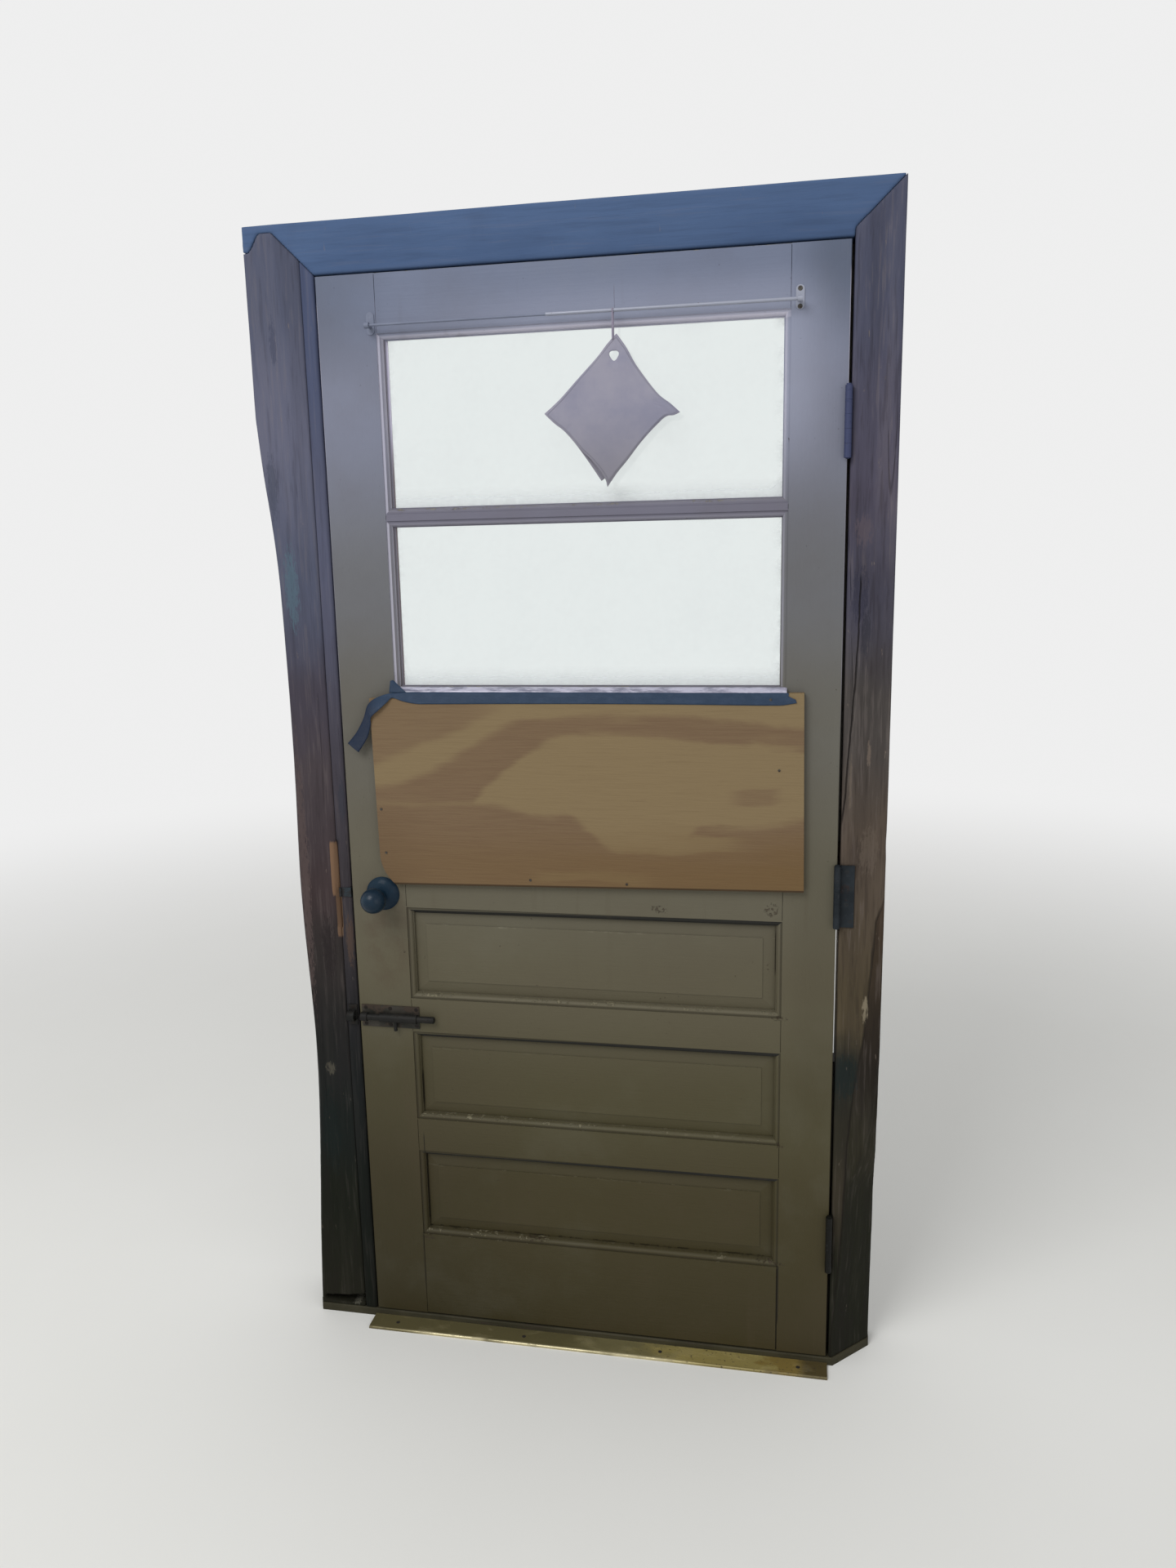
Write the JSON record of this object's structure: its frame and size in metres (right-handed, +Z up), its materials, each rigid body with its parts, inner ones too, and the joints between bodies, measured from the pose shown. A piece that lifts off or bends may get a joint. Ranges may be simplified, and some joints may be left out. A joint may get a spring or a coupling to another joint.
{
  "type": "entry door",
  "caption": "Panelled wooden entry door with stacked lights, hung on butt hinges in a heavy mitred timber frame, with knob latch, slide bolt and curtain rod.",
  "frame": {"origin": "centre of the sill board's underside", "axes": "+X along the wall towards the hinge side, +Y into the wall towards the outside, +Z up; the leaf opens towards -Y"},
  "size_m": [1.13, 0.194, 2.126],
  "materials": {
    "sill_wood": "worn brown paint on wood",
    "strip_metal": "worn gold-coloured metal, dull",
    "post_wood": "weathered brown-grey paint on wood",
    "jamb_paint": "grey paint with plaster smears on wood",
    "stop_wood": "painted wood",
    "dark_metal": "dark paint, satin",
    "knob_metal": "near-black, glossy",
    "bolt_metal": "old paint over steel, dull",
    "screw_metal": "tarnished",
    "latch_steel": "plain steel",
    "leaf_paint": "old grey-cream paint on wood, satin",
    "glass": "clear, slightly dirty",
    "putty": "hard linseed putty",
    "plywood": "bare plywood",
    "tape": "dark cloth-backed tape, slightly shiny",
    "rod_metal": "off-white enamel",
    "cloth": "quilted cotton"
  },
  "bodies": {
    "frame": {"sill": "sill_wood", "threshold_strip": "strip_metal", "left_post": "post_wood", "left_jamb": "jamb_paint", "right_post": "post_wood", "head_beam": "post_wood", "head_stop": "stop_wood", "left_stop": "stop_wood", "right_stop_lower": "stop_wood", "right_stop_upper": "stop_wood", "strike_plate": "dark_metal", "bolt_keeper": "bolt_metal", "frame_screws": "screw_metal", "hinge_top_frame_leaf": "dark_metal", "hinge_middle_frame_leaf": "dark_metal", "hinge_bottom_frame_leaf": "dark_metal", "hinge_top_pin": "dark_metal", "hinge_middle_pin": "dark_metal", "hinge_bottom_pin": "dark_metal"},
    "leaf": {"lock_stile": "leaf_paint", "hinge_stile": "leaf_paint", "top_rail": "leaf_paint", "upper_muntin": "leaf_paint", "lower_muntin": "leaf_paint", "lock_rail": "leaf_paint", "upper_mid_rail": "leaf_paint", "lower_mid_rail": "leaf_paint", "bottom_rail": "leaf_paint", "upper_panel": "leaf_paint", "middle_panel": "leaf_paint", "lower_panel": "leaf_paint", "upper_pane": "glass", "lower_pane": "glass", "upper_putty": "putty", "lower_putty": "putty", "plywood_sheet": "plywood", "plywood_nails": "screw_metal", "tape": "tape", "hinge_top_door_leaf": "dark_metal", "hinge_middle_door_leaf": "dark_metal", "hinge_bottom_door_leaf": "dark_metal", "leaf_screws": "screw_metal", "latch_case": "latch_steel", "inner_rosette": "knob_metal", "outer_rosette": "knob_metal", "slide_bolt_plate": "bolt_metal", "rod_tube": "rod_metal", "rod_inner": "rod_metal", "rod_bracket_left": "rod_metal", "rod_bracket_right": "rod_metal", "pot_holder": "cloth"},
    "knob": {"inner_knob": "knob_metal", "outer_knob": "knob_metal", "spindle": "latch_steel"},
    "latch": {"latch_bolt": "latch_steel"},
    "slide": {"slide_bar": "bolt_metal"}
  },
  "joints": [
    {"name": "door_swing", "type": "hinge", "parent": "frame", "child": "leaf", "pos_m": [0.4815, -0.0648, 1], "axis": [0, 0, 1], "range_deg": [0, 110]},
    {"name": "knob_turn", "type": "hinge", "parent": "leaf", "child": "knob", "pos_m": [-0.3708, -0.036, 0.9197], "axis": [0, 1, 0], "range_deg": [-70, 0]},
    {"name": "latch_slide", "type": "slide", "parent": "leaf", "child": "latch", "axis": [1, 0, 0], "range_m": [-0.00805, 0]},
    {"name": "slide_bolt", "type": "slide", "parent": "leaf", "child": "slide", "axis": [-1, 0, 0], "range_m": [0, 0.03]}
  ],
  "couplings": [
    {"joint": "latch_slide", "follows": "knob_turn", "m_per_rad": 0.0065727}
  ]
}
